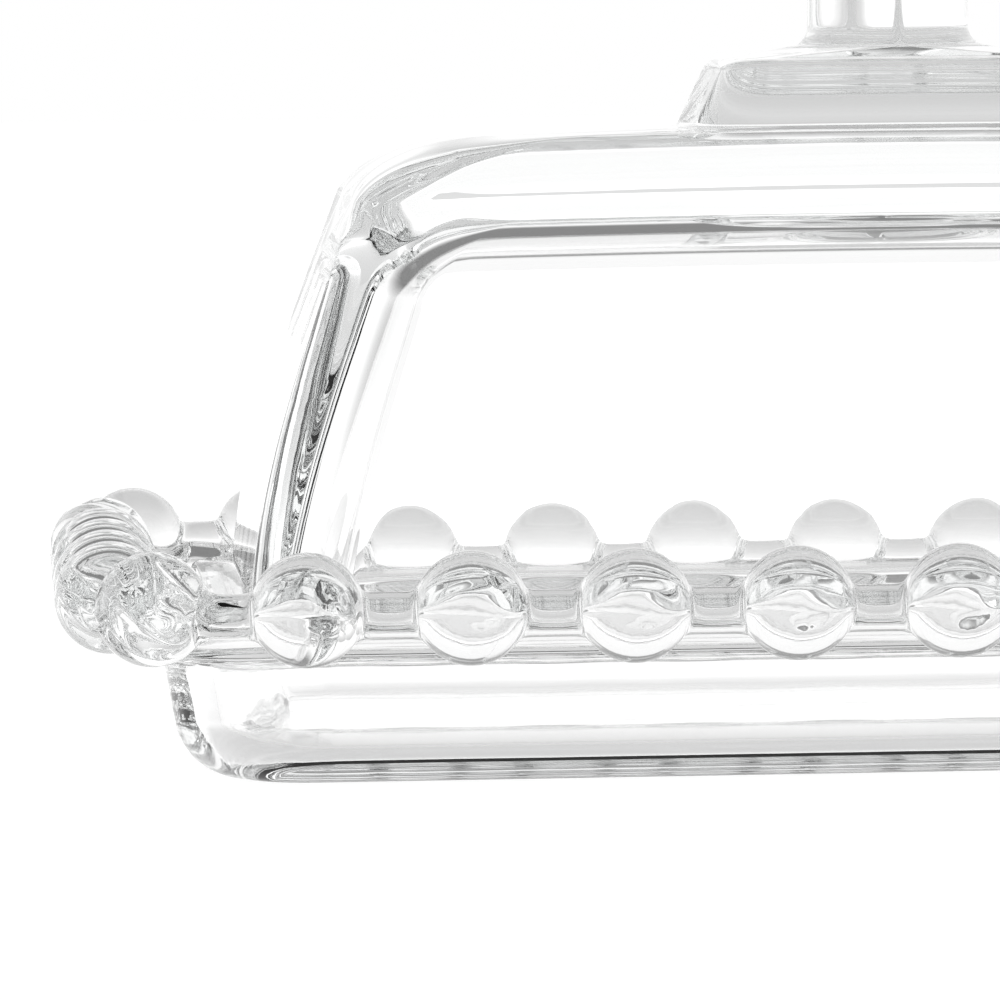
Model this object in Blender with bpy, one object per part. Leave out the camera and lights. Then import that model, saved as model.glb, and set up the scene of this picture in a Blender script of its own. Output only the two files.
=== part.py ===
"""Butter dish in clear pressed glass: a beaded tray and its lift-off lid.

Frame: metres, +Z up, +X along the dish, origin on the table under the middle of the tray.
Both pieces are lofts of rounded rectangles. A section is written as points of (inset, height),
where inset is the distance inboard of the line that runs through the centres of the rim's beads.
"""

import math

import bmesh
import bpy
from mathutils import Vector

MM = 0.001

# Driving dimensions -------------------------------------------------------------------------

# The beaded rim
BEAD_DIAMETER = 12.0 * MM
BEAD_PITCH = 17.0 * MM
PITCHES_ALONG_LENGTH = 10
PITCHES_ALONG_WIDTH = 6
BEAD_CENTRE_HEIGHT = 19.4 * MM
RIM_CORNER_RADIUS = 13.8 * MM
RIM_EDGE_THICKNESS = 4.8 * MM
RIM_EDGE_DROP = 0.7 * MM
RIM_EDGE_REACH = 1.0 * MM

# The tray's outside
TRAY_WALL_INSET = 5.5 * MM
TRAY_WALL_TOP = 12.6 * MM
TRAY_CORNER_RADIUS = 16.0 * MM
TRAY_DRAFT = math.radians(10.0)
TRAY_FOOT_RADIUS = 7.0 * MM

# The tray's inside
TRAY_WALL_THICKNESS = 7.0 * MM
TRAY_FLOOR_THICKNESS = 3.7 * MM
BASIN_CORNER_RADIUS = 11.0 * MM
BASIN_DRAFT = math.radians(8.0)
BASIN_FOOT_RADIUS = 3.5 * MM
LEDGE_HEIGHT = 15.0 * MM
LEDGE_WIDTH = 2.8 * MM

# The lid
LID_WALL_INSET = 15.1 * MM
LID_FLANGE_THICKNESS = 2.7 * MM
LID_CORNER_RADIUS = 10.0 * MM
LID_SHOULDER_CORNER_RADIUS = 8.0 * MM
LID_ROOF_CORNER_RADIUS = 13.0 * MM
LID_FOOT_DRAFT = math.radians(3.0)
LID_SHOULDER_DRAFT = math.radians(20.0)
LID_SHOULDER_LEAN = 11.9 * MM
LID_ROOF_RISE = 51.1 * MM
LID_SHOULDER_DROP = 6.7 * MM
LID_ROOF_EDGE_DROP = 0.3 * MM
LID_ROOF_SHRINK_X = 16.1 * MM
LID_ROOF_SHRINK_Y = 7.6 * MM
LID_CAMBER = 2.0 * MM

# The lid's inside
LID_FOOT_THICKNESS = 5.5 * MM
LID_ROOF_THICKNESS = 10.0 * MM
DOME_FOOT_CORNER_RADIUS = 5.0 * MM
DOME_SHOULDER_CORNER_RADIUS = 5.0 * MM
DOME_ROOF_CORNER_RADIUS = 6.0 * MM
DOME_FOOT_DRAFT = math.radians(5.0)
DOME_SHOULDER_LEAN = 9.2 * MM
DOME_SHOULDER_DROP = 8.1 * MM
DOME_ROOF_EDGE_DROP = 0.3 * MM
DOME_ROOF_SHRINK_X = 11.0 * MM
DOME_ROOF_SHRINK_Y = 7.0 * MM

# The plinth, the neck and the knob
PLINTH_HALF_LENGTH = 22.6 * MM
PLINTH_HALF_WIDTH = 18.0 * MM
PLINTH_CORNER_RADIUS = 9.0 * MM
PLINTH_WALL_RISE = 6.1 * MM
PLINTH_DRAFT = math.radians(24.0)
PLINTH_EDGE_RADIUS = 2.2 * MM
PLINTH_TOP_SLOPE = math.radians(10.0)
# Below 1, so that no two corners of the topmost loop share a point
PLINTH_CROWN_ROUNDNESS = 0.85
NECK_RADIUS = 9.0 * MM
NECK_FLARE_RADIUS = 2.2 * MM
NECK_RISE = 7.0 * MM
KNOB_DIAMETER = 26.0 * MM

# Clearances
SEAT_GAP = 0.3 * MM
FLANGE_CLEARANCE = 0.6 * MM

# Worked out from the driving dimensions --------------------------------------------------------

RIM_QUARTER_ARC = RIM_CORNER_RADIUS * math.pi / 2
RIM_HALF_LENGTH = (PITCHES_ALONG_LENGTH * BEAD_PITCH - RIM_QUARTER_ARC) / 2 + RIM_CORNER_RADIUS
RIM_HALF_WIDTH = (PITCHES_ALONG_WIDTH * BEAD_PITCH - RIM_QUARTER_ARC) / 2 + RIM_CORNER_RADIUS
RIM_NOSE_RADIUS = RIM_EDGE_THICKNESS / 2
RIM_NOSE_HEIGHT = BEAD_CENTRE_HEIGHT - RIM_EDGE_DROP
RIM_NOSE_INSET = RIM_NOSE_RADIUS - RIM_EDGE_REACH
BASIN_INSET = TRAY_WALL_INSET + TRAY_WALL_THICKNESS
LEDGE_INSET = BASIN_INSET - LEDGE_WIDTH
FLANGE_INSET = LEDGE_INSET + FLANGE_CLEARANCE
LID_SEAT_HEIGHT = LEDGE_HEIGHT + SEAT_GAP
LID_SHOULDER_RISE = LID_ROOF_RISE - LID_SHOULDER_DROP
LID_ROOF_EDGE_RISE = LID_ROOF_RISE - LID_ROOF_EDGE_DROP
DOME_ROOF_RISE = LID_ROOF_RISE - LID_ROOF_THICKNESS
DOME_SHOULDER_RISE = DOME_ROOF_RISE - DOME_SHOULDER_DROP
DOME_ROOF_EDGE_RISE = DOME_ROOF_RISE - DOME_ROOF_EDGE_DROP
NECK_FLARE_REACH = NECK_RADIUS + NECK_FLARE_RADIUS

# Mesh fineness
CORNER_STEPS = 6
CURVE_STEPS = 5
BEAD_SEGMENTS = 12
BEAD_RINGS = 6
TURNED_STEPS = 28

GLASS_COLOUR = (0.95, 0.97, 0.97, 1.0)
GLASS_ROUGHNESS = 0.03


# Curves and loops -------------------------------------------------------------------------------

def arc(inset, height, radius, start, end):
    """Points of a section's arc; angle 0 points outboard and 90 degrees points up."""
    points = []
    for step in range(CURVE_STEPS + 1):
        angle = math.radians(start + (end - start) * step / CURVE_STEPS)
        points.append((inset - radius * math.cos(angle), height + radius * math.sin(angle)))
    return points


def bezier(start, start_handle, end_handle, end):
    """Points of a cubic curve between two section points."""
    points = []
    for step in range(CURVE_STEPS + 1):
        t = step / CURVE_STEPS
        weights = ((1 - t) ** 3, 3 * t * (1 - t) ** 2, 3 * t * t * (1 - t), t ** 3)
        corners = (start, start_handle, end_handle, end)
        points.append(tuple(
            sum(weight * corner[axis] for weight, corner in zip(weights, corners))
            for axis in range(2)
        ))
    return points


def blend(start, end, share):
    """The value a share of the way from start to end."""
    return start + (end - start) * share


def rounded_loop(half_length, half_width, radius, height):
    """Corners of a rounded rectangle at one height, anticlockwise seen from above."""
    loop = []
    for side in range(4):
        sign_x = 1 if side in (0, 3) else -1
        sign_y = 1 if side in (0, 1) else -1
        centre_x = sign_x * (half_length - radius)
        centre_y = sign_y * (half_width - radius)
        for step in range(CORNER_STEPS + 1):
            angle = math.radians(90 * side + 90 * step / CORNER_STEPS)
            x = centre_x + radius * math.cos(angle)
            y = centre_y + radius * math.sin(angle)
            loop.append(Vector((x, y, height)))
    return loop


def inset_loop(inset, height, radius):
    """Rounded rectangle at an inset from the bead line, the same all round."""
    return rounded_loop(RIM_HALF_LENGTH - inset, RIM_HALF_WIDTH - inset, radius, height)


# Objects ----------------------------------------------------------------------------------------

def clear_scene():
    """Remove whatever the file holds."""
    for thing in list(bpy.data.objects):
        bpy.data.objects.remove(thing)


def glass_material(name):
    """Clear pressed glass."""
    material = bpy.data.materials.new(name)
    material.use_nodes = True
    shader = material.node_tree.nodes["Principled BSDF"]
    shader.inputs["Base Color"].default_value = GLASS_COLOUR
    shader.inputs["Roughness"].default_value = GLASS_ROUGHNESS
    shader.inputs["Metallic"].default_value = 0.0
    shader.inputs["Transmission Weight"].default_value = 1.0
    return material


def mesh_object(name, mesh_builder, material):
    """Link a new object made from a bmesh, with its faces pointing out."""
    bmesh.ops.recalc_face_normals(mesh_builder, faces=mesh_builder.faces)
    mesh = bpy.data.meshes.new(name)
    mesh_builder.to_mesh(mesh)
    mesh_builder.free()
    mesh.materials.append(material)
    mesh.shade_smooth()
    mesh.set_sharp_from_angle(angle=math.radians(40))
    thing = bpy.data.objects.new(name, mesh)
    bpy.context.scene.collection.objects.link(thing)
    return thing


def loft(name, loops, material):
    """Join loops of the same number of points in order, and cap both ends."""
    builder = bmesh.new()
    rings = [[builder.verts.new(point) for point in loop] for loop in loops]
    for lower, upper in zip(rings, rings[1:]):
        for index in range(len(lower)):
            following = (index + 1) % len(lower)
            builder.faces.new((lower[index], lower[following], upper[following], upper[index]))
    builder.faces.new(list(reversed(rings[0])))
    builder.faces.new(rings[-1])
    return mesh_object(name, builder, material)


def turned(name, profile, material):
    """Spin a profile of (radius, height) round the Z axis; its two ends lie on the axis."""
    builder = bmesh.new()
    bottom = builder.verts.new((0, 0, profile[0][1]))
    top = builder.verts.new((0, 0, profile[-1][1]))
    rings = []
    for radius, height in profile[1:-1]:
        ring = []
        for step in range(TURNED_STEPS):
            angle = math.tau * step / TURNED_STEPS
            ring.append(builder.verts.new((radius * math.cos(angle), radius * math.sin(angle), height)))
        rings.append(ring)
    for step in range(TURNED_STEPS):
        following = (step + 1) % TURNED_STEPS
        builder.faces.new((bottom, rings[0][following], rings[0][step]))
        builder.faces.new((top, rings[-1][step], rings[-1][following]))
        for lower, upper in zip(rings, rings[1:]):
            builder.faces.new((lower[step], lower[following], upper[following], upper[step]))
    return mesh_object(name, builder, material)


def unite(body, guide):
    """Fuse a guide into a body; the guide itself is not a piece."""
    guide.hide_render = True
    guide.display_type = "WIRE"
    guide.hide_set(True)
    joint = body.modifiers.new("union_with_" + guide.name, "BOOLEAN")
    joint.operation = "UNION"
    joint.solver = "EXACT"
    joint.object = guide


# The tray ---------------------------------------------------------------------------------------

def rim_point(side, distance):
    """Point on the bead line, a distance on from the middle of a corner towards the next one."""
    pitches = PITCHES_ALONG_LENGTH if side % 2 == 0 else PITCHES_ALONG_WIDTH
    straight = pitches * BEAD_PITCH - RIM_QUARTER_ARC
    run = min(max(distance - RIM_QUARTER_ARC / 2, 0.0), straight)
    angle = math.radians(45 + 90 * side) + (distance - run) / RIM_CORNER_RADIUS
    heading = math.radians(90 * (side + 2))
    sign_x = 1 if side in (0, 3) else -1
    sign_y = 1 if side in (0, 1) else -1
    x = sign_x * (RIM_HALF_LENGTH - RIM_CORNER_RADIUS)
    y = sign_y * (RIM_HALF_WIDTH - RIM_CORNER_RADIUS)
    x += RIM_CORNER_RADIUS * math.cos(angle) + run * math.cos(heading)
    y += RIM_CORNER_RADIUS * math.sin(angle) + run * math.sin(heading)
    return Vector((x, y, BEAD_CENTRE_HEIGHT))


def bead_guide(material):
    """All the beads as one guide: equally spaced, with one on each corner."""
    builder = bmesh.new()
    for side in range(4):
        pitches = PITCHES_ALONG_LENGTH if side % 2 == 0 else PITCHES_ALONG_WIDTH
        for number in range(pitches):
            made = bmesh.ops.create_uvsphere(
                builder,
                u_segments=BEAD_SEGMENTS,
                v_segments=BEAD_RINGS,
                radius=BEAD_DIAMETER / 2,
            )
            bmesh.ops.translate(builder, verts=made["verts"], vec=rim_point(side, number * BEAD_PITCH))
    return mesh_object("bead_guide", builder, material)


def tray_outside():
    """Loops from the middle of the foot up the wall and along the underside of the rim."""
    lean = math.tan(TRAY_DRAFT) * (TRAY_WALL_TOP - TRAY_FOOT_RADIUS)
    foot_inset = TRAY_WALL_INSET + lean + TRAY_FOOT_RADIUS / math.cos(TRAY_DRAFT)
    wall_top = (TRAY_WALL_INSET, TRAY_WALL_TOP)
    nose_bottom = (RIM_NOSE_INSET, RIM_NOSE_HEIGHT - RIM_NOSE_RADIUS)
    bend = (nose_bottom[1] - TRAY_WALL_TOP) / 2
    foot = arc(foot_inset, TRAY_FOOT_RADIUS, TRAY_FOOT_RADIUS, -90, -math.degrees(TRAY_DRAFT))
    underside = bezier(
        wall_top,
        (TRAY_WALL_INSET - math.tan(TRAY_DRAFT) * bend, TRAY_WALL_TOP + bend),
        (blend(TRAY_WALL_INSET, RIM_NOSE_INSET, 0.5), nose_bottom[1] - bend / 4),
        nose_bottom,
    )
    loops = []
    for inset, height in foot:
        loops.append(inset_loop(inset, height, TRAY_CORNER_RADIUS - (inset - TRAY_WALL_INSET)))
    for inset, height in underside[:-1]:
        share = (TRAY_WALL_INSET - inset) / (TRAY_WALL_INSET - RIM_NOSE_INSET)
        loops.append(inset_loop(inset, height, blend(TRAY_CORNER_RADIUS, RIM_CORNER_RADIUS, share)))
    return loops


def tray_rim():
    """Loops round the rim's rounded edge and down its dished top to the ledge."""
    nose_top = (RIM_NOSE_INSET, RIM_NOSE_HEIGHT + RIM_NOSE_RADIUS)
    ledge_edge = (LEDGE_INSET, LEDGE_HEIGHT)
    handle = (LEDGE_INSET - RIM_NOSE_INSET) / 3
    dish = bezier(
        nose_top,
        (nose_top[0] + handle, nose_top[1]),
        (ledge_edge[0] - handle, ledge_edge[1]),
        ledge_edge,
    )
    section = arc(RIM_NOSE_INSET, RIM_NOSE_HEIGHT, RIM_NOSE_RADIUS, -90, 90) + dish[1:]
    return [inset_loop(inset, height, RIM_CORNER_RADIUS) for inset, height in section]


def tray_basin():
    """Loops from the ledge's inner edge down the basin's wall to its floor."""
    floor = TRAY_FLOOR_THICKNESS + BASIN_FOOT_RADIUS
    lean = math.tan(BASIN_DRAFT) * (LEDGE_HEIGHT - floor)
    foot_inset = BASIN_INSET + lean + BASIN_FOOT_RADIUS / math.cos(BASIN_DRAFT)
    section = [(BASIN_INSET, LEDGE_HEIGHT)]
    section += arc(foot_inset, floor, BASIN_FOOT_RADIUS, -math.degrees(BASIN_DRAFT), -90)
    return [
        inset_loop(inset, height, BASIN_CORNER_RADIUS - (inset - BASIN_INSET))
        for inset, height in section
    ]


def build_tray(material):
    """The tray with its beads."""
    tray = loft("dish_base", tray_outside() + tray_rim() + tray_basin(), material)
    unite(tray, bead_guide(material))
    return tray


# The lid ----------------------------------------------------------------------------------------

def side_section(foot, top, roof_edge, foot_draft):
    """Section up a wall of the lid that leans more as it rises, and on over the shoulder."""
    handle = (top[1] - foot[1]) / 3
    shoulder_handle = (roof_edge[1] - top[1]) / 2
    wall = bezier(
        foot,
        (foot[0] + math.tan(foot_draft) * handle, foot[1] + handle),
        (top[0] - math.tan(LID_SHOULDER_DRAFT) * handle, top[1] - handle),
        top,
    )
    shoulder = bezier(
        top,
        (top[0] + math.tan(LID_SHOULDER_DRAFT) * shoulder_handle, top[1] + shoulder_handle),
        (blend(roof_edge[0], top[0], 0.6), roof_edge[1]),
        roof_edge,
    )
    return wall, shoulder


def lid_outside():
    """Section of the lid's outside, from the top of its flange to the edge of its roof."""
    top_inset = LID_WALL_INSET + LID_SHOULDER_LEAN
    return side_section(
        (LID_WALL_INSET, LID_SEAT_HEIGHT + LID_FLANGE_THICKNESS),
        (top_inset, LID_SEAT_HEIGHT + LID_SHOULDER_RISE),
        (top_inset + LID_ROOF_SHRINK_X, LID_SEAT_HEIGHT + LID_ROOF_EDGE_RISE),
        LID_FOOT_DRAFT,
    )


def lid_inside():
    """Section of the lid's inside, from its open mouth to the edge of the dome's flat top."""
    foot_inset = LID_WALL_INSET + LID_FOOT_THICKNESS
    top_inset = foot_inset + DOME_SHOULDER_LEAN
    return side_section(
        (foot_inset, LID_SEAT_HEIGHT),
        (top_inset, LID_SEAT_HEIGHT + DOME_SHOULDER_RISE),
        (top_inset + DOME_ROOF_SHRINK_X, LID_SEAT_HEIGHT + DOME_ROOF_EDGE_RISE),
        DOME_FOOT_DRAFT,
    )


def cambered(loops):
    """Raise the loops towards the middle of the lid's length, more the higher they are."""
    for loop in loops:
        for point in loop:
            share = min((point.z - LID_SEAT_HEIGHT) / LID_ROOF_RISE, 1.0)
            share = max(share, 0.0) * (1 - (point.x / RIM_HALF_LENGTH) ** 2)
            point.z += LID_CAMBER * share
    return loops


def side_loops(section, corner_radii, width_share):
    """Loops of a wall and a shoulder; the shoulder's sides draw in by a share of what its ends do."""
    wall, shoulder = section
    foot_corner, shoulder_corner, roof_corner = corner_radii
    loops = []
    for index, (inset, height) in enumerate(wall):
        share = index / (len(wall) - 1)
        loops.append(inset_loop(inset, height, blend(foot_corner, shoulder_corner, share)))
    start = shoulder[0][0]
    for index, (inset, height) in enumerate(shoulder[1:], start=1):
        share = index / (len(shoulder) - 1)
        loops.append(rounded_loop(
            RIM_HALF_LENGTH - inset,
            RIM_HALF_WIDTH - start - (inset - start) * width_share,
            blend(shoulder_corner, roof_corner, share),
            height,
        ))
    return loops


def flange_loops():
    """Loops of the flange that sits on the ledge, from its inner edge out and up."""
    corner = BASIN_CORNER_RADIUS + BASIN_INSET - FLANGE_INSET
    bevel = LID_FLANGE_THICKNESS / 4
    top = LID_SEAT_HEIGHT + LID_FLANGE_THICKNESS
    return [
        inset_loop(FLANGE_INSET + bevel, LID_SEAT_HEIGHT, corner - bevel),
        inset_loop(FLANGE_INSET, LID_SEAT_HEIGHT + bevel, corner),
        inset_loop(FLANGE_INSET, top - bevel, corner),
        inset_loop(FLANGE_INSET + bevel, top, corner - bevel),
    ]


def plinth_loops():
    """Loops of the plinth: up its wall from the roof, over its edge and up its sloping top."""
    base = LID_SEAT_HEIGHT + LID_ROOF_RISE
    lean = math.tan(PLINTH_DRAFT) * PLINTH_WALL_RISE
    draft = math.degrees(PLINTH_DRAFT)
    slope = math.degrees(PLINTH_TOP_SLOPE)
    edge_inset = lean + PLINTH_EDGE_RADIUS * math.cos(PLINTH_DRAFT)
    edge_height = base + PLINTH_WALL_RISE - PLINTH_EDGE_RADIUS * math.sin(PLINTH_DRAFT)
    section = [(0.0, base)] + arc(edge_inset, edge_height, PLINTH_EDGE_RADIUS, draft, 90 - slope)
    loops = [
        rounded_loop(
            PLINTH_HALF_LENGTH - inset,
            PLINTH_HALF_WIDTH - inset,
            PLINTH_CORNER_RADIUS - inset,
            height,
        )
        for inset, height in section
    ]
    top_inset, top_height = section[-1]
    rise = math.tan(PLINTH_TOP_SLOPE) * (PLINTH_HALF_LENGTH - top_inset - NECK_FLARE_REACH)
    crown_radius = NECK_FLARE_REACH * PLINTH_CROWN_ROUNDNESS
    loops.append(rounded_loop(NECK_FLARE_REACH, NECK_FLARE_REACH, crown_radius, top_height + rise))
    return loops


def knob_guide(base, material):
    """The neck and the ball knob, turned, with the neck's flare standing on the plinth's top."""
    neck_top = base + NECK_RISE
    ball_radius = KNOB_DIAMETER / 2
    ball_start = math.asin(NECK_RADIUS / ball_radius)
    ball_height = neck_top + ball_radius * math.cos(ball_start)
    root = base - PLINTH_WALL_RISE
    profile = [(0.0, root), (NECK_RADIUS, root), (NECK_FLARE_REACH, base)]
    for step in range(1, CURVE_STEPS + 1):
        angle = math.pi / 2 * step / CURVE_STEPS
        radius = NECK_FLARE_REACH - NECK_FLARE_RADIUS * math.sin(angle)
        profile.append((radius, base + NECK_FLARE_RADIUS * (1 - math.cos(angle))))
    ball_steps = 2 * CURVE_STEPS
    for step in range(ball_steps + 1):
        angle = blend(ball_start, math.pi, step / ball_steps)
        radius = ball_radius * math.sin(angle) if step < ball_steps else 0.0
        profile.append((radius, ball_height - ball_radius * math.cos(angle)))
    return turned("knob_guide", profile, material)


def build_lid(material):
    """The lid: flange, wall, shoulder, roof, plinth and knob outside, an open dome inside."""
    inside = side_loops(
        lid_inside(),
        (DOME_FOOT_CORNER_RADIUS, DOME_SHOULDER_CORNER_RADIUS, DOME_ROOF_CORNER_RADIUS),
        DOME_ROOF_SHRINK_Y / DOME_ROOF_SHRINK_X,
    )
    outside = side_loops(
        lid_outside(),
        (LID_CORNER_RADIUS, LID_SHOULDER_CORNER_RADIUS, LID_ROOF_CORNER_RADIUS),
        LID_ROOF_SHRINK_Y / LID_ROOF_SHRINK_X,
    )
    plinth = plinth_loops()
    loops = list(reversed(inside)) + flange_loops() + outside + plinth
    lid = loft("dish_lid", cambered(loops), material)
    unite(lid, knob_guide(plinth[-1][0].z, material))
    return lid


def main():
    clear_scene()
    glass = glass_material("clear_pressed_glass")
    build_tray(glass)
    build_lid(glass)


main()
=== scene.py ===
"""Looks of the butter dish: a beaded tray and its lid, each one piece of clear pressed glass.

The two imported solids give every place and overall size. Here each is made again as one fine, closed
skin. A section of a skin is a row of points (inset, height), and often a corner radius too. The inset
is the distance inboard of the line through the bead centres. Each point sweeps a rounded rectangle,
which is called a ring.
"""

import math

import bpy
import numpy as np
from mathutils import Matrix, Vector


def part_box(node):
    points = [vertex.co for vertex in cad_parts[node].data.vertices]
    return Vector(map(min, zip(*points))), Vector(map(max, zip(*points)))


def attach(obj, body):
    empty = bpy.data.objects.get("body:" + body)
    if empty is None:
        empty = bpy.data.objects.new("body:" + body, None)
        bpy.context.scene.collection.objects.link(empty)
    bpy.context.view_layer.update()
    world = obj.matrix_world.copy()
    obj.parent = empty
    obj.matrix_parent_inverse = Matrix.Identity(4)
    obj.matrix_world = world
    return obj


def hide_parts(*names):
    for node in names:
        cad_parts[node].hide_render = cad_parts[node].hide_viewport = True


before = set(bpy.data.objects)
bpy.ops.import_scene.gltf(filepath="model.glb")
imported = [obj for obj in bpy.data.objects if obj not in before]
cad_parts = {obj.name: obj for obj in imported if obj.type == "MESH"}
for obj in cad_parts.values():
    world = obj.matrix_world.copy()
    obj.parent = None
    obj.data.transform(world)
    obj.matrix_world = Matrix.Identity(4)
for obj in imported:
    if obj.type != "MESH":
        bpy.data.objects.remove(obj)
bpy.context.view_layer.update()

MM = 0.001
tray_low, tray_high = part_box("dish_base")
lid_low, lid_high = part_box("dish_lid")

# The beaded rim
BEAD_RADIUS = 6.0 * MM
BEADS_ALONG_LENGTH = 10
BEADS_ALONG_WIDTH = 6
BEAD_BLEND = 1.1 * MM
RIM_CORNER_RADIUS = 13.8 * MM
RIM_EDGE_RADIUS = 2.4 * MM
RIM_EDGE_DROP = 0.7 * MM
RIM_EDGE_REACH = 1.0 * MM
RIM_HALF_LENGTH = tray_high.x - BEAD_RADIUS
RIM_HALF_WIDTH = tray_high.y - BEAD_RADIUS
BEAD_CENTRE_HEIGHT = tray_high.z - BEAD_RADIUS
NOSE_INSET = RIM_EDGE_RADIUS - RIM_EDGE_REACH
NOSE_HEIGHT = BEAD_CENTRE_HEIGHT - RIM_EDGE_DROP

# The tray under the rim
WALL_INSET = 5.5 * MM
WALL_TOP = 12.6 * MM
WALL_CORNER_RADIUS = 16.0 * MM
WALL_DRAFT = math.radians(10.0)
FOOT_RADIUS = 7.0 * MM
FLOOR_THICKNESS = 3.7 * MM
BASIN_INSET = 12.5 * MM
BASIN_CORNER_RADIUS = 11.0 * MM
BASIN_DRAFT = math.radians(8.0)
BASIN_FOOT_RADIUS = 3.5 * MM
BASIN_EDGE_RADIUS = 0.9 * MM
LEDGE_HEIGHT = 15.0 * MM
LEDGE_INSET = 9.7 * MM

# The lid
FLANGE_INSET = RIM_HALF_LENGTH - lid_high.x
FLANGE_THICKNESS = 2.7 * MM
FLANGE_EDGE_RADIUS = 0.9 * MM
SEAT_HEIGHT = lid_low.z
LID_INSET = 15.1 * MM
LID_CORNER_RADIUS = 10.0 * MM
SHOULDER_CORNER_RADIUS = 8.0 * MM
ROOF_CORNER_RADIUS = 13.0 * MM
LID_FOOT_DRAFT = math.radians(3.0)
SHOULDER_DRAFT = math.radians(20.0)
SHOULDER_LEAN = 11.9 * MM
SHOULDER_RISE = 44.4 * MM
ROOF_EDGE_RISE = 50.8 * MM
ROOF_RISE = 51.1 * MM
ROOF_SHRINK_X = 16.1 * MM
ROOF_SHRINK_Y = 7.6 * MM
LID_CAMBER = 2.0 * MM

# The dome inside the lid
DOME_INSET = LID_INSET + 5.5 * MM
DOME_FOOT_CORNER_RADIUS = 5.0 * MM
DOME_SHOULDER_CORNER_RADIUS = 5.0 * MM
DOME_ROOF_CORNER_RADIUS = 6.0 * MM
DOME_FOOT_DRAFT = math.radians(5.0)
DOME_SHOULDER_LEAN = 9.2 * MM
DOME_SHOULDER_RISE = 33.0 * MM
DOME_ROOF_EDGE_RISE = 40.8 * MM
DOME_ROOF_SHRINK_X = 11.0 * MM
DOME_ROOF_SHRINK_Y = 7.0 * MM

# The plinth, the neck and the ball knob
PLINTH_HALF_LENGTH = 22.6 * MM
PLINTH_HALF_WIDTH = 18.0 * MM
PLINTH_CORNER_RADIUS = 9.0 * MM
PLINTH_WALL_RISE = 6.1 * MM
PLINTH_DRAFT = math.radians(24.0)
PLINTH_ROOT_RADIUS = 0.8 * MM
PLINTH_EDGE_RADIUS = 2.2 * MM
PLINTH_TOP_SLOPE = math.radians(10.0)
NECK_RADIUS = 9.0 * MM
NECK_FLARE_RADIUS = 2.2 * MM
KNOB_RADIUS = 13.0 * MM
KNOB_ROOT_RADIUS = 2.0 * MM

# The glass's surface: ripples of the fire polish, and flow lines drawn out along the dish
RIPPLE_SPACING = 14.0 * MM
RIPPLE_DEPTH = 0.02 * MM
FLOW_SPACING = 6.0 * MM
FLOW_DEPTH = 0.01 * MM
FLOW_STRETCH = 5.0
FLOW_TWIST = 0.8

# The board as the glass shows it: a glow in tones by distance from the dish in metres, a painted shadow
# that is darker near the dish
BOARD_REACH = 6.0
BOARD_CORNERS = 96
BOARD_DROP = 0.2 * MM
BOARD_GLOW_WITH_PAINTED_SHADOW = ((0.07, "#d4d4d4"), (0.25, "#c4c4c4"), (1.0, "#e4e4e4"))
BOARD_TONE_BARE = "#808080"
BOARD_GLOW_BARE = 0.95
BOARD_ROUGHNESS = 0.05

# The tent: tones by how steeply a ray climbs, from 0 at the horizon to 1 overhead
TENT_TONES = ((0.45, "#ffffff"), (0.7, "#808080"))
TENT_STRENGTH = 1.05

# The camera
CAMERA_PLACE = (-98.7 * MM, -731.3 * MM, 77.8 * MM)
CAMERA_YAW = math.radians(-4.287)
CAMERA_TILT = math.radians(90 - 3.979)
CAMERA_ROLL = math.radians(-0.549)
CAMERA_LENS = 236.94


# Curves -----------------------------------------------------------------------------------------

def mix(start, end, share):
    """The value a share of the way from start to end."""
    return start + (end - start) * share


def eased(share):
    """A share that leaves 0 and reaches 1 without a kink."""
    return share * share * (3 - 2 * share)


def arc(inset, height, radius, start, end, steps):
    """Section points of an arc; 0 degrees points outboard and 90 degrees points up."""
    angles = np.radians(np.linspace(start, end, steps + 1))
    return np.column_stack((inset - radius * np.cos(angles), height + radius * np.sin(angles)))


def bezier(corners, steps):
    """Section points of a cubic curve through the first and the last of its four corners."""
    t = np.linspace(0, 1, steps + 1)[:, None]
    a, b, c, d = (np.array(corner) for corner in corners)
    return (1 - t) ** 3 * a + 3 * t * (1 - t) ** 2 * b + 3 * t * t * (1 - t) * c + t ** 3 * d


def line(start, end, steps):
    """Section points of a straight run."""
    return np.linspace(start, end, steps + 1)


def with_radius(points, radius):
    """Section points with a corner radius, which is a number or a function of the inset."""
    radii = [radius(inset) if callable(radius) else radius for inset in points[:, 0]]
    return np.column_stack((points, radii))


# Rings: rounded rectangles whose points keep their places from one ring to the next ---------------

def even_stations(corner_steps, length_steps, width_steps):
    """Places round a ring as (corner, turn through the corner, run along the side after it)."""
    stations = []
    for corner in range(4):
        side_steps = length_steps if corner % 2 == 0 else width_steps
        stations += [(corner, step / corner_steps, 0.0) for step in range(corner_steps)]
        stations += [(corner, 1.0, step / side_steps) for step in range(side_steps)]
    return np.array(stations)


def bead_stations(steps_per_bead):
    """Places round the rim, closest together where a bead's side is steepest, a bead at a time."""
    quarter_arc = RIM_CORNER_RADIUS * math.pi / 2
    sides = [2 * (RIM_HALF_LENGTH - RIM_CORNER_RADIUS), 2 * (RIM_HALF_WIDTH - RIM_CORNER_RADIUS)]
    beads = [BEADS_ALONG_LENGTH, BEADS_ALONG_WIDTH]
    stations = []
    for corner in range(4):
        side = sides[corner % 2]
        pitch = (side + quarter_arc) / beads[corner % 2]
        for bead in range(beads[corner % 2]):
            for step in range(steps_per_bead):
                offset = bead_offset(step / steps_per_bead, pitch)
                distance = bead * pitch + offset
                if distance < quarter_arc / 2:
                    stations.append((corner, 0.5 + distance / quarter_arc, 0.0))
                elif distance < quarter_arc / 2 + side:
                    stations.append((corner, 1.0, (distance - quarter_arc / 2) / side))
                else:
                    rest = distance - quarter_arc / 2 - side
                    stations.append(((corner + 1) % 4, rest / quarter_arc, 0.0))
    return np.array(stations)


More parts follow.
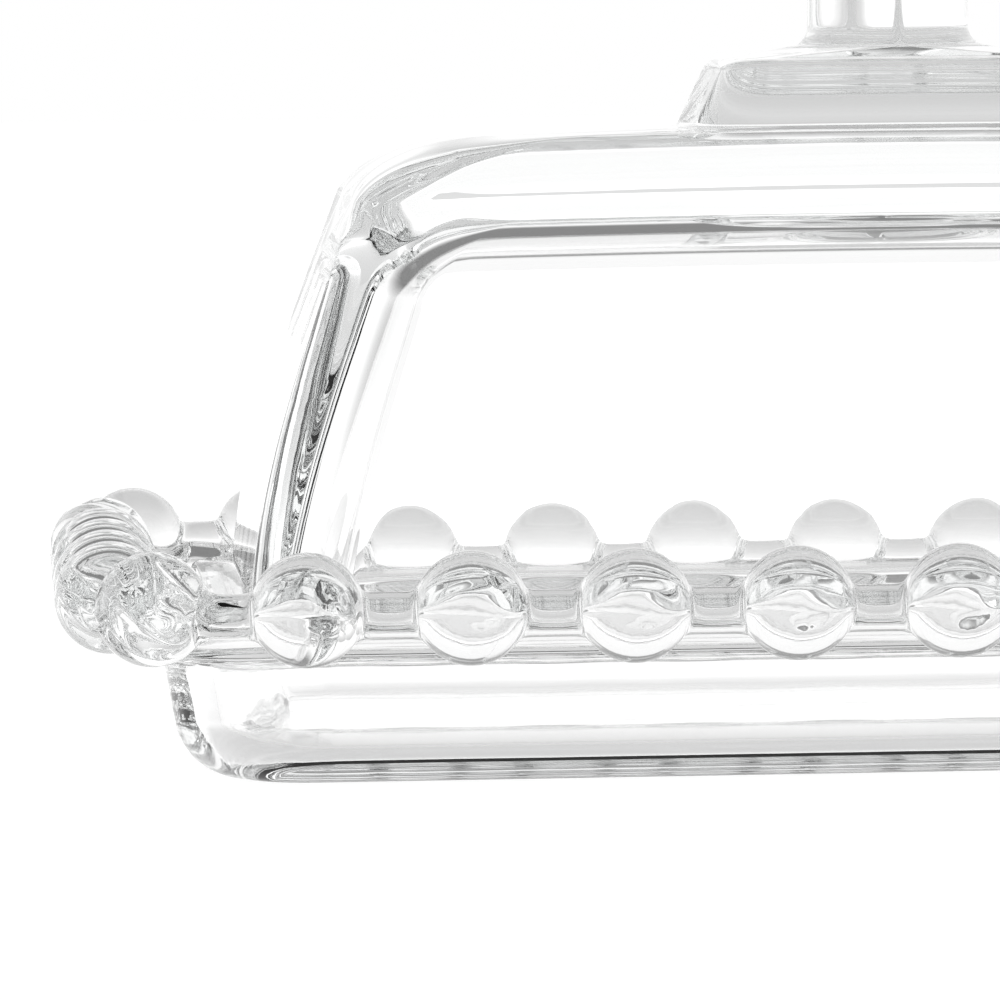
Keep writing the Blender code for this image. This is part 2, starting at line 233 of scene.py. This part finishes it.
def bead_offset(share, pitch):
    """Distance on from a bead's centre for a share of the pitch: a sine over the bead itself."""
    gap_share = 0.12
    mirrored = min(share, 1 - share)
    if mirrored < 0.5 - gap_share:
        offset = BEAD_RADIUS * math.sin(math.pi / 2 * mirrored / (0.5 - gap_share))
    else:
        offset = mix(pitch / 2, BEAD_RADIUS, (0.5 - mirrored) / gap_share)
    return offset if share < 0.5 else pitch - offset


def ring(half_length, half_width, radius, height, stations):
    """Points of one rounded rectangle at the stations."""
    corner, turn, run = stations.T

    def on_corner(number, share):
        angle = (number + share) * math.pi / 2
        sign_x = np.where((number == 0) | (number == 3), 1, -1)
        sign_y = np.where(number < 2, 1, -1)
        x = sign_x * (half_length - radius) + radius * np.cos(angle)
        y = sign_y * (half_width - radius) + radius * np.sin(angle)
        return np.column_stack((x, y))

    start = on_corner(corner, turn)
    end = on_corner((corner + 1) % 4, np.zeros(len(corner)))
    points = start + (end - start) * run[:, None]
    return np.column_stack((points, np.full(len(points), height)))


def rings(section, stations):
    """A ring for each (inset, height, corner radius) of a section."""
    return [
        ring(RIM_HALF_LENGTH - inset, RIM_HALF_WIDTH - inset, radius, height, stations)
        for inset, height, radius in section
    ]


def flat_rings(outer, height, stations, count):
    """Rings that close in on the middle of a flat floor or roof, from the outermost inward."""
    inset, radius = outer
    reach = RIM_HALF_WIDTH - inset
    made = []
    for step in range(1, count):
        shrink = reach * step / count
        corner = max(radius * (1 - step / count), reach * 0.1 * (1 - step / count))
        made.append(ring(
            RIM_HALF_LENGTH - inset - shrink,
            RIM_HALF_WIDTH - inset - shrink,
            corner,
            height,
            stations,
        ))
    return made


# Skins: closed meshes made of rings -------------------------------------------------------------

def bridge(lower_start, lower_count, upper_start, upper_count):
    """Faces between two rings, of which one may have several times the points of the other."""
    faces = []
    if lower_count == upper_count:
        for index in range(lower_count):
            following = (index + 1) % lower_count
            faces.append((
                lower_start + index,
                lower_start + following,
                upper_start + following,
                upper_start + index,
            ))
        return faces
    coarse_is_lower = lower_count < upper_count
    starts = (lower_start, upper_start)
    coarse_start, fine_start = starts if coarse_is_lower else reversed(starts)
    coarse_count, fine_count = sorted((lower_count, upper_count))
    ratio = fine_count // coarse_count
    for index in range(coarse_count):
        here = coarse_start + index
        following = coarse_start + (index + 1) % coarse_count
        fine = [fine_start + (index * ratio + step) % fine_count for step in range(ratio + 1)]
        fans = [(here, following, fine[ratio // 2])]
        fans += [(here, fine[step + 1], fine[step]) for step in range(ratio // 2)]
        fans += [(following, fine[step + 1], fine[step]) for step in range(ratio // 2, ratio)]
        faces += fans if coarse_is_lower else [tuple(reversed(face)) for face in fans]
    return faces


def skin(name, ring_list, material):
    """One closed, smooth mesh from rings in order; the first ring faces down or inward."""
    starts = np.cumsum([0] + [len(points) for points in ring_list])
    faces = [tuple(reversed(range(starts[1])))]
    for lower, upper in zip(range(len(ring_list) - 1), range(1, len(ring_list))):
        faces += bridge(starts[lower], len(ring_list[lower]), starts[upper], len(ring_list[upper]))
    faces.append(tuple(range(starts[-2], starts[-1])))
    mesh = bpy.data.meshes.new(name)
    mesh.from_pydata(np.vstack(ring_list).tolist(), [], faces)
    mesh.shade_smooth()
    mesh.materials.append(material)
    mesh.validate()
    piece = bpy.data.objects.new(name, mesh)
    bpy.context.scene.collection.objects.link(piece)
    return piece


# The tray ---------------------------------------------------------------------------------------

def nearest_on_bead_line(points):
    """The nearest point of the line through the bead centres to each point."""
    centre = np.array([RIM_HALF_LENGTH - RIM_CORNER_RADIUS, RIM_HALF_WIDTH - RIM_CORNER_RADIUS])
    folded = np.abs(points[:, :2])
    beyond = folded - centre
    in_corner = (beyond > 0).all(axis=1)
    reach = np.linalg.norm(beyond, axis=1)[:, None]
    round_corner = centre + beyond * RIM_CORNER_RADIUS / np.maximum(reach, 1e-9)
    at_end = np.column_stack((np.full(len(points), RIM_HALF_LENGTH), folded[:, 1]))
    at_side = np.column_stack((folded[:, 0], np.full(len(points), RIM_HALF_WIDTH)))
    straight = np.where((beyond[:, 0] > beyond[:, 1])[:, None], at_end, at_side)
    flat = np.where(in_corner[:, None], round_corner, straight) * np.where(points[:, :2] < 0, -1, 1)
    return np.column_stack((flat, np.full(len(points), BEAD_CENTRE_HEIGHT)))


def smooth_min(a, b, width):
    """The smaller of two distances, with a rounded valley where they are nearly equal."""
    closeness = np.maximum(width - np.abs(a - b), 0) / width
    return np.minimum(a, b) - closeness * closeness * width / 4


def swell_into_beads(ring_list, bead_centres):
    """Push the rim's skin out from the bead line to where the beads' own skin is further out."""
    counts = [len(points) for points in ring_list]
    points = np.vstack(ring_list)
    base = nearest_on_bead_line(points)
    spoke = points - base
    reach = np.linalg.norm(spoke, axis=1)
    spoke /= reach[:, None]
    spacing = np.linalg.norm(base[:, None, :] - bead_centres[None, :, :], axis=2)
    bead = bead_centres[np.argmin(spacing, axis=1)]
    near, far = reach.copy(), reach + 2 * BEAD_RADIUS
    for _ in range(30):
        middle = (near + far) / 2
        to_bead = np.linalg.norm(base + spoke * middle[:, None] - bead, axis=1) - BEAD_RADIUS
        inside = smooth_min(middle - reach, to_bead, BEAD_BLEND) < 0
        near = np.where(inside, middle, near)
        far = np.where(inside, far, middle)
    moved = base + spoke * near[:, None]
    return np.split(moved, np.cumsum(counts)[:-1])


def tray_foot_section():
    """From the flat foot round its edge and up the wall to the underside of the rim."""
    lean = math.tan(WALL_DRAFT) * (WALL_TOP - FOOT_RADIUS)
    centre = WALL_INSET + lean + FOOT_RADIUS / math.cos(WALL_DRAFT)
    foot = arc(centre, FOOT_RADIUS, FOOT_RADIUS, -90, -math.degrees(WALL_DRAFT), 18)
    wall = line(foot[-1], (WALL_INSET, WALL_TOP), 4)[1:-1]
    return with_radius(
        np.vstack((foot, wall)),
        lambda inset: WALL_CORNER_RADIUS - (inset - WALL_INSET),
    )


def rim_section():
    """From the wall's top out under the rim, round its nose and down its dished top."""
    bend = (NOSE_HEIGHT - RIM_EDGE_RADIUS - WALL_TOP) / 2
    lean = math.tan(WALL_DRAFT) * bend
    underside = bezier((
        (WALL_INSET, WALL_TOP),
        (WALL_INSET - lean, WALL_TOP + bend),
        (mix(WALL_INSET, NOSE_INSET, 0.5), NOSE_HEIGHT - RIM_EDGE_RADIUS - bend / 4),
        (NOSE_INSET, NOSE_HEIGHT - RIM_EDGE_RADIUS),
    ), 12)
    offset = np.array([-NOSE_INSET, -RIM_EDGE_DROP])
    low, high = (math.atan2(offset[1] + sign * RIM_EDGE_RADIUS, offset[0]) for sign in (-1, 1))
    angles = np.linspace(low, high, 58)
    spokes = np.column_stack((np.cos(angles), np.sin(angles)))
    along = spokes @ offset
    reach = along + np.sqrt(along ** 2 - offset @ offset + RIM_EDGE_RADIUS ** 2)
    nose = np.column_stack((-reach * spokes[:, 0], BEAD_CENTRE_HEIGHT + reach * spokes[:, 1]))
    handle = (LEDGE_INSET - NOSE_INSET) / 3
    dish = bezier((
        (NOSE_INSET, NOSE_HEIGHT + RIM_EDGE_RADIUS),
        (NOSE_INSET + handle, NOSE_HEIGHT + RIM_EDGE_RADIUS),
        (LEDGE_INSET - handle, LEDGE_HEIGHT),
        (LEDGE_INSET, LEDGE_HEIGHT),
    ), 14)
    nose_corner = RIM_CORNER_RADIUS - NOSE_INSET

    def under_radius(inset):
        share = (WALL_INSET - inset) / (WALL_INSET - NOSE_INSET)
        return mix(WALL_CORNER_RADIUS, nose_corner, eased(share))

    def dish_radius(inset):
        share = (inset - NOSE_INSET) / (LEDGE_INSET - NOSE_INSET)
        return mix(nose_corner, RIM_CORNER_RADIUS, eased(share))

    return np.vstack((
        with_radius(underside[:-1], under_radius),
        with_radius(nose, lambda inset: RIM_CORNER_RADIUS - inset),
        with_radius(dish[1:], dish_radius),
    ))


def basin_section():
    """From the ledge over its edge and down the basin's wall to its floor."""
    floor = FLOOR_THICKNESS + BASIN_FOOT_RADIUS
    draft = math.degrees(BASIN_DRAFT)
    edge_inset = BASIN_INSET - BASIN_EDGE_RADIUS
    edge = arc(edge_inset, LEDGE_HEIGHT - BASIN_EDGE_RADIUS, -BASIN_EDGE_RADIUS, -90, -180 - draft, 7)
    lean = math.tan(BASIN_DRAFT) * (edge[-1][1] - floor)
    centre = edge[-1][0] + lean + BASIN_FOOT_RADIUS / math.cos(BASIN_DRAFT)
    foot = arc(centre, floor, BASIN_FOOT_RADIUS, -draft, -90, 14)
    wall = line(edge[-1], foot[0], 4)[1:-1]
    return with_radius(
        np.vstack((edge, wall, foot)),
        lambda inset: BASIN_CORNER_RADIUS - (inset - BASIN_INSET),
    )


def bead_line_points(stations):
    """Centres of the beads."""
    return ring(RIM_HALF_LENGTH, RIM_HALF_WIDTH, RIM_CORNER_RADIUS, BEAD_CENTRE_HEIGHT, stations)


def build_tray(material):
    """The tray: foot, wall, beaded rim, ledge and basin in one skin."""
    steps_per_bead = 32
    coarseness = 4
    stations = bead_stations(steps_per_bead)
    coarse = stations[::coarseness]
    beads = bead_line_points(stations[::steps_per_bead])
    foot = tray_foot_section()
    basin = basin_section()
    under = flat_rings((foot[0][0], foot[0][2]), 0.0, coarse, 8)
    floor = flat_rings((basin[-1][0], basin[-1][2]), FLOOR_THICKNESS, coarse, 8)
    tray_rings = list(reversed(under)) + rings(foot, coarse)
    tray_rings += swell_into_beads(rings(rim_section(), stations), beads)
    tray_rings += rings(basin, coarse) + floor
    return skin("beaded_tray", tray_rings, material)


# The lid ----------------------------------------------------------------------------------------

def side_section(foot, top, roof_edge, foot_draft):
    """Section up a wall of the lid that leans more as it rises, and on over the shoulder."""
    foot, top, roof_edge = (np.array(point) for point in (foot, top, roof_edge))
    handle = (top[1] - foot[1]) / 3
    shoulder_handle = (roof_edge[1] - top[1]) / 2
    wall = bezier((
        foot,
        foot + (math.tan(foot_draft) * handle, handle),
        top - (math.tan(SHOULDER_DRAFT) * handle, handle),
        top,
    ), 36)
    shoulder = bezier((
        top,
        top + (math.tan(SHOULDER_DRAFT) * shoulder_handle, shoulder_handle),
        (mix(roof_edge[0], top[0], 0.6), roof_edge[1]),
        roof_edge,
    ), 28)
    return wall, shoulder


def side_rings(section, corner_radii, width_share, stations):
    """Rings of a wall and a shoulder; the shoulder's sides draw in by a share of what its ends do."""
    wall, shoulder = section
    foot_corner, shoulder_corner, roof_corner = corner_radii
    shares = np.linspace(0, 1, len(wall))
    radii = mix(foot_corner, shoulder_corner, shares)
    made = rings(np.column_stack((wall, radii)), stations)
    start = shoulder[0][0]
    for index, (inset, height) in enumerate(shoulder[1:], start=1):
        corner = mix(shoulder_corner, roof_corner, index / (len(shoulder) - 1))
        width_inset = mix(start, inset, width_share)
        made.append(ring(RIM_HALF_LENGTH - inset, RIM_HALF_WIDTH - width_inset, corner, height, stations))
    return made


def outside_rings(stations):
    """Rings of the lid's outside, from the top of its flange to the edge of its roof."""
    top_inset = LID_INSET + SHOULDER_LEAN
    section = side_section(
        (LID_INSET, SEAT_HEIGHT + FLANGE_THICKNESS),
        (top_inset, SEAT_HEIGHT + SHOULDER_RISE),
        (top_inset + ROOF_SHRINK_X, SEAT_HEIGHT + ROOF_EDGE_RISE),
        LID_FOOT_DRAFT,
    )
    corners = (LID_CORNER_RADIUS, SHOULDER_CORNER_RADIUS, ROOF_CORNER_RADIUS)
    return side_rings(section, corners, ROOF_SHRINK_Y / ROOF_SHRINK_X, stations)


def inside_rings(stations):
    """Rings of the lid's inside, from its open mouth to the edge of the dome's flat top."""
    top_inset = DOME_INSET + DOME_SHOULDER_LEAN
    section = side_section(
        (DOME_INSET, SEAT_HEIGHT),
        (top_inset, SEAT_HEIGHT + DOME_SHOULDER_RISE),
        (top_inset + DOME_ROOF_SHRINK_X, SEAT_HEIGHT + DOME_ROOF_EDGE_RISE),
        DOME_FOOT_DRAFT,
    )
    corners = (DOME_FOOT_CORNER_RADIUS, DOME_SHOULDER_CORNER_RADIUS, DOME_ROOF_CORNER_RADIUS)
    return side_rings(section, corners, DOME_ROOF_SHRINK_Y / DOME_ROOF_SHRINK_X, stations)


def flange_rings(stations):
    """Rings of the flange that sits on the ledge, from its inner edge out, round and back."""
    corner = BASIN_CORNER_RADIUS + BASIN_INSET - FLANGE_INSET
    centre = FLANGE_INSET + FLANGE_EDGE_RADIUS
    low = arc(centre, SEAT_HEIGHT + FLANGE_EDGE_RADIUS, FLANGE_EDGE_RADIUS, -90, 0, 7)
    top = SEAT_HEIGHT + FLANGE_THICKNESS
    high = arc(centre, top - FLANGE_EDGE_RADIUS, FLANGE_EDGE_RADIUS, 0, 90, 7)
    section = with_radius(np.vstack((low, high)), lambda inset: corner - (inset - FLANGE_INSET))
    return rings(section, stations)


def plinth_rings(stations):
    """Rings up the plinth's wall, over its edge and up its sloping top to the neck's flare."""
    base = SEAT_HEIGHT + ROOF_RISE
    draft = math.degrees(PLINTH_DRAFT)
    slope = math.degrees(PLINTH_TOP_SLOPE)
    lean = math.tan(PLINTH_DRAFT) * PLINTH_WALL_RISE
    edge_inset = lean + PLINTH_EDGE_RADIUS * math.cos(PLINTH_DRAFT)
    edge_height = base + PLINTH_WALL_RISE - PLINTH_EDGE_RADIUS * math.sin(PLINTH_DRAFT)
    root_centre = -PLINTH_ROOT_RADIUS * math.cos(PLINTH_DRAFT)
    root_height = base + PLINTH_ROOT_RADIUS
    root = arc(root_centre, root_height, -PLINTH_ROOT_RADIUS, 90, draft, 6)
    edge = arc(edge_inset, edge_height, PLINTH_EDGE_RADIUS, draft, 90 - slope, 12)
    wall = line(root[-1], edge[0], 6)[1:-1]
    section = np.vstack((root, wall, edge))
    made = [
        ring(
            PLINTH_HALF_LENGTH - inset,
            PLINTH_HALF_WIDTH - inset,
            PLINTH_CORNER_RADIUS - inset,
            height,
            stations,
        )
        for inset, height in section
    ]
    inset, height = section[-1]
    flare_reach = NECK_RADIUS + NECK_FLARE_RADIUS
    length, width = PLINTH_HALF_LENGTH - inset, PLINTH_HALF_WIDTH - inset
    rise = math.tan(PLINTH_TOP_SLOPE) * (length - flare_reach)
    for share in np.linspace(0, 1, 9)[1:]:
        made.append(ring(
            mix(length, flare_reach, share),
            mix(width, flare_reach, share),
            mix(PLINTH_CORNER_RADIUS - inset, flare_reach, eased(share)),
            mix(height, height + rise, share),
            stations,
        ))
    return made


def neck_and_knob_rings(base, stations):
    """Rings up the neck's flare, the neck and the ball knob to near its top."""
    knob_centre = lid_high.z - LID_CAMBER - KNOB_RADIUS
    slope = math.degrees(PLINTH_TOP_SLOPE)
    flare_out = -NECK_RADIUS - NECK_FLARE_RADIUS
    flare = arc(flare_out, base + NECK_FLARE_RADIUS, -NECK_FLARE_RADIUS, 90 + slope, 0, 12)
    fillet_reach = KNOB_RADIUS + KNOB_ROOT_RADIUS
    fillet_out = NECK_RADIUS + KNOB_ROOT_RADIUS
    fillet_drop = math.sqrt(fillet_reach ** 2 - fillet_out ** 2)
    meeting = math.degrees(math.asin(fillet_drop / fillet_reach))
    fillet = arc(-fillet_out, knob_centre - fillet_drop, -KNOB_ROOT_RADIUS, 0, -meeting, 8)
    ball = arc(0.0, knob_centre, KNOB_RADIUS, -meeting, 89.0, 48)
    neck = line(flare[-1], fillet[0], 4)[1:-1]
    made = []
    for inset, height in np.vstack((flare[1:], neck, fillet, ball[1:])):
        made.append(ring(-inset, -inset, -inset, height, stations))
    return made


def cambered(ring_list):
    """The lid's rings raised towards the middle of its length, more the higher they are."""
    for points in ring_list:
        share = np.clip((points[:, 2] - SEAT_HEIGHT) / ROOF_RISE, 0, 1)
        points[:, 2] += LID_CAMBER * share * (1 - (points[:, 0] / RIM_HALF_LENGTH) ** 2)
    return ring_list


def build_lid(material):
    """The lid: open dome inside; flange, wall, shoulder, roof, plinth, neck and knob outside."""
    stations = even_stations(20, 64, 32)
    plinth = plinth_rings(stations)
    outside = flange_rings(stations) + outside_rings(stations) + plinth
    outside += neck_and_knob_rings(plinth[-1][0][2], stations)
    inside = list(reversed(inside_rings(stations)))
    return skin("lid_with_knob", cambered(inside + outside), material)


# Materials --------------------------------------------------------------------------------------

def linear(hex_colour):
    """An sRGB hex colour as linear RGBA."""
    channels = [int(hex_colour[index:index + 2], 16) / 255 for index in (1, 3, 5)]
    curved = [c / 12.92 if c <= 0.04045 else ((c + 0.055) / 1.055) ** 2.4 for c in channels]
    return (*curved, 1.0)


def add(tree, kind, settings=None, **inputs):
    """Add a node; each input is a value, or a socket to link from. Spaces in names are underscores."""
    node = tree.nodes.new(kind)
    for name, value in (settings or {}).items():
        setattr(node, name, value)
    for name, value in inputs.items():
        socket = node.inputs[name.replace("_", " ")]
        if isinstance(value, bpy.types.NodeSocket):
            tree.links.new(value, socket)
        else:
            socket.default_value = value
    return node


def empty_material(name):
    """A material with nothing in it but its output."""
    material = bpy.data.materials.new(name)
    material.use_nodes = True
    material.node_tree.nodes.clear()
    return material, material.node_tree


def bump(tree, height, depth, **inputs):
    """The normal that a texture gives when its whole range stands for a depth."""
    node = add(tree, "ShaderNodeBump", Strength=1.0, Distance=depth, Height=height, **inputs)
    return node.outputs["Normal"]


def pressed_glass():
    """Soda-lime glass pressed in a mould and fire-polished: clear and colourless, with the soft
    waviness of a surface that was melted smooth, the flow lines of the pressing and the faint grey
    of its own thickness."""
    material, tree = empty_material("soda_lime_glass_pressed_fire_polished")
    place = add(tree, "ShaderNodeTexCoord").outputs["Object"]
    ripple = add(tree, "ShaderNodeTexNoise", Vector=place, Scale=1 / RIPPLE_SPACING, Detail=1.0)
    drawn_out = add(tree, "ShaderNodeMapping", Vector=place, Scale=(1 / FLOW_STRETCH, 1.0, 1.0))
    flow = add(
        tree,
        "ShaderNodeTexNoise",
        Vector=drawn_out.outputs["Vector"],
        Scale=1 / FLOW_SPACING,
        Detail=1.5,
        Distortion=FLOW_TWIST,
    )
    rippled = bump(tree, ripple.outputs["Fac"], RIPPLE_DEPTH)
    waved = bump(tree, flow.outputs["Fac"], FLOW_DEPTH, Normal=rippled)
    glass = add(
        tree,
        "ShaderNodeBsdfPrincipled",
        Base_Color=linear("#ffffff"),
        Roughness=0.0,
        IOR=1.52,
        Transmission_Weight=1.0,
        Normal=waved,
    )
    tint = add(tree, "ShaderNodeVolumeAbsorption", Color=linear("#eef3f2"), Density=2.0)
    add(
        tree,
        "ShaderNodeOutputMaterial",
        Surface=glass.outputs["BSDF"],
        Volume=tint.outputs["Volume"],
    )
    return material


# The stage --------------------------------------------------------------------------------------

def shade(ramp, tones):
    """Set a colour ramp's stops to (position, hex colour) pairs."""
    stops = ramp.color_ramp.elements
    while len(stops) < len(tones):
        stops.new(1.0)
    for stop, (position, colour) in zip(stops, tones):
        stop.position = position
        stop.color = linear(colour)


def bare_or_in_glass(tree, bare, in_glass):
    """One shader where the stage is seen bare, another where glass shows it or it lights the dish."""
    path = add(tree, "ShaderNodeLightPath")
    choice = add(tree, "ShaderNodeMixShader", Fac=path.outputs["Is Camera Ray"])
    tree.links.new(in_glass, choice.inputs[1])
    tree.links.new(bare, choice.inputs[2])
    return choice.outputs[0]


def white_board():
    """Satin white board: plain where it is seen bare. In the glass it is a grey glow with a painted
    shadow, darker near the dish, under the sheen that it has at a low angle."""
    material, tree = empty_material("satin_white_board_painted_shadow")
    place = add(tree, "ShaderNodeTexCoord").outputs["Object"]
    distance = add(tree, "ShaderNodeVectorMath", {"operation": "LENGTH"}, Vector=place)
    # Painted shadow: the board's glow in the glass is greyer near the dish and lightest far from it
    tone = add(tree, "ShaderNodeValToRGB", Fac=distance.outputs["Value"])
    shade(tone, BOARD_GLOW_WITH_PAINTED_SHADOW)
    in_glass = add(
        tree,
        "ShaderNodeBsdfPrincipled",
        Base_Color=linear("#000000"),
        Roughness=BOARD_ROUGHNESS,
        IOR=1.5,
        Emission_Color=tone.outputs["Color"],
        Emission_Strength=1.0,
    )
    board = add(tree, "ShaderNodeBsdfDiffuse", Color=linear(BOARD_TONE_BARE))
    glow = add(tree, "ShaderNodeEmission", Color=linear("#ffffff"), Strength=BOARD_GLOW_BARE)
    bare = add(tree, "ShaderNodeAddShader")
    tree.links.new(board.outputs[0], bare.inputs[0])
    tree.links.new(glow.outputs[0], bare.inputs[1])
    seen = bare_or_in_glass(tree, bare.outputs[0], in_glass.outputs[0])
    add(tree, "ShaderNodeOutputMaterial", Surface=seen)
    return material


def build_board():
    """A wide round board under the dish."""
    angles = np.linspace(0, math.tau, BOARD_CORNERS, endpoint=False)
    heights = np.full(BOARD_CORNERS, -BOARD_DROP)
    points = np.column_stack((BOARD_REACH * np.cos(angles), BOARD_REACH * np.sin(angles), heights))
    mesh = bpy.data.meshes.new("floor_board")
    mesh.from_pydata(points.tolist(), [], [tuple(range(BOARD_CORNERS))])
    mesh.materials.append(white_board())
    board = bpy.data.objects.new("floor_board", mesh)
    bpy.context.scene.collection.objects.link(board)


def light_studio():
    """A white tent, brightest near the horizon and darker overhead, and plain white seen bare."""
    world = bpy.data.worlds.new("white_tent")
    bpy.context.scene.world = world
    world.use_nodes = True
    tree = world.node_tree
    tree.nodes.clear()
    direction = add(tree, "ShaderNodeTexCoord").outputs["Generated"]
    height = add(tree, "ShaderNodeSeparateXYZ", Vector=direction).outputs["Z"]
    ramp = add(tree, "ShaderNodeValToRGB", Fac=height)
    shade(ramp, TENT_TONES)
    tent = add(tree, "ShaderNodeBackground", Color=ramp.outputs["Color"], Strength=TENT_STRENGTH)
    bare = add(tree, "ShaderNodeBackground", Color=linear("#ffffff"), Strength=1.0)
    add(tree, "ShaderNodeOutputWorld", Surface=bare_or_in_glass(tree, bare.outputs[0], tent.outputs[0]))


def place_camera():
    """A long lens a little above the rim, nearly square to the long side and left of its middle."""
    camera_data = bpy.data.cameras.new("camera")
    camera_data.sensor_width = 36.0
    camera_data.lens = CAMERA_LENS
    camera_data.clip_start = 0.05
    camera_data.clip_end = 50.0
    camera = bpy.data.objects.new("camera", camera_data)
    bpy.context.scene.collection.objects.link(camera)
    aim = Matrix.Rotation(CAMERA_YAW, 4, "Z") @ Matrix.Rotation(CAMERA_TILT, 4, "X")
    turn = aim @ Matrix.Rotation(CAMERA_ROLL, 4, "Z")
    camera.matrix_world = Matrix.Translation(CAMERA_PLACE) @ turn
    bpy.context.scene.camera = camera


def set_light_paths():
    """Let light cross the many walls of the dish, and show plain tones without a film curve."""
    scene = bpy.context.scene
    scene.cycles.max_bounces = 32
    scene.cycles.transmission_bounces = 32
    scene.cycles.glossy_bounces = 16
    scene.cycles.transparent_max_bounces = 16
    scene.view_settings.view_transform = "Standard"


# Assembly ---------------------------------------------------------------------------------------

glass = pressed_glass()

tray = build_tray(glass)
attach(tray, "tray")
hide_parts("dish_base")

lid = build_lid(glass)
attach(lid, "lid")
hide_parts("dish_lid")

build_board()
light_studio()
place_camera()
set_light_paths()
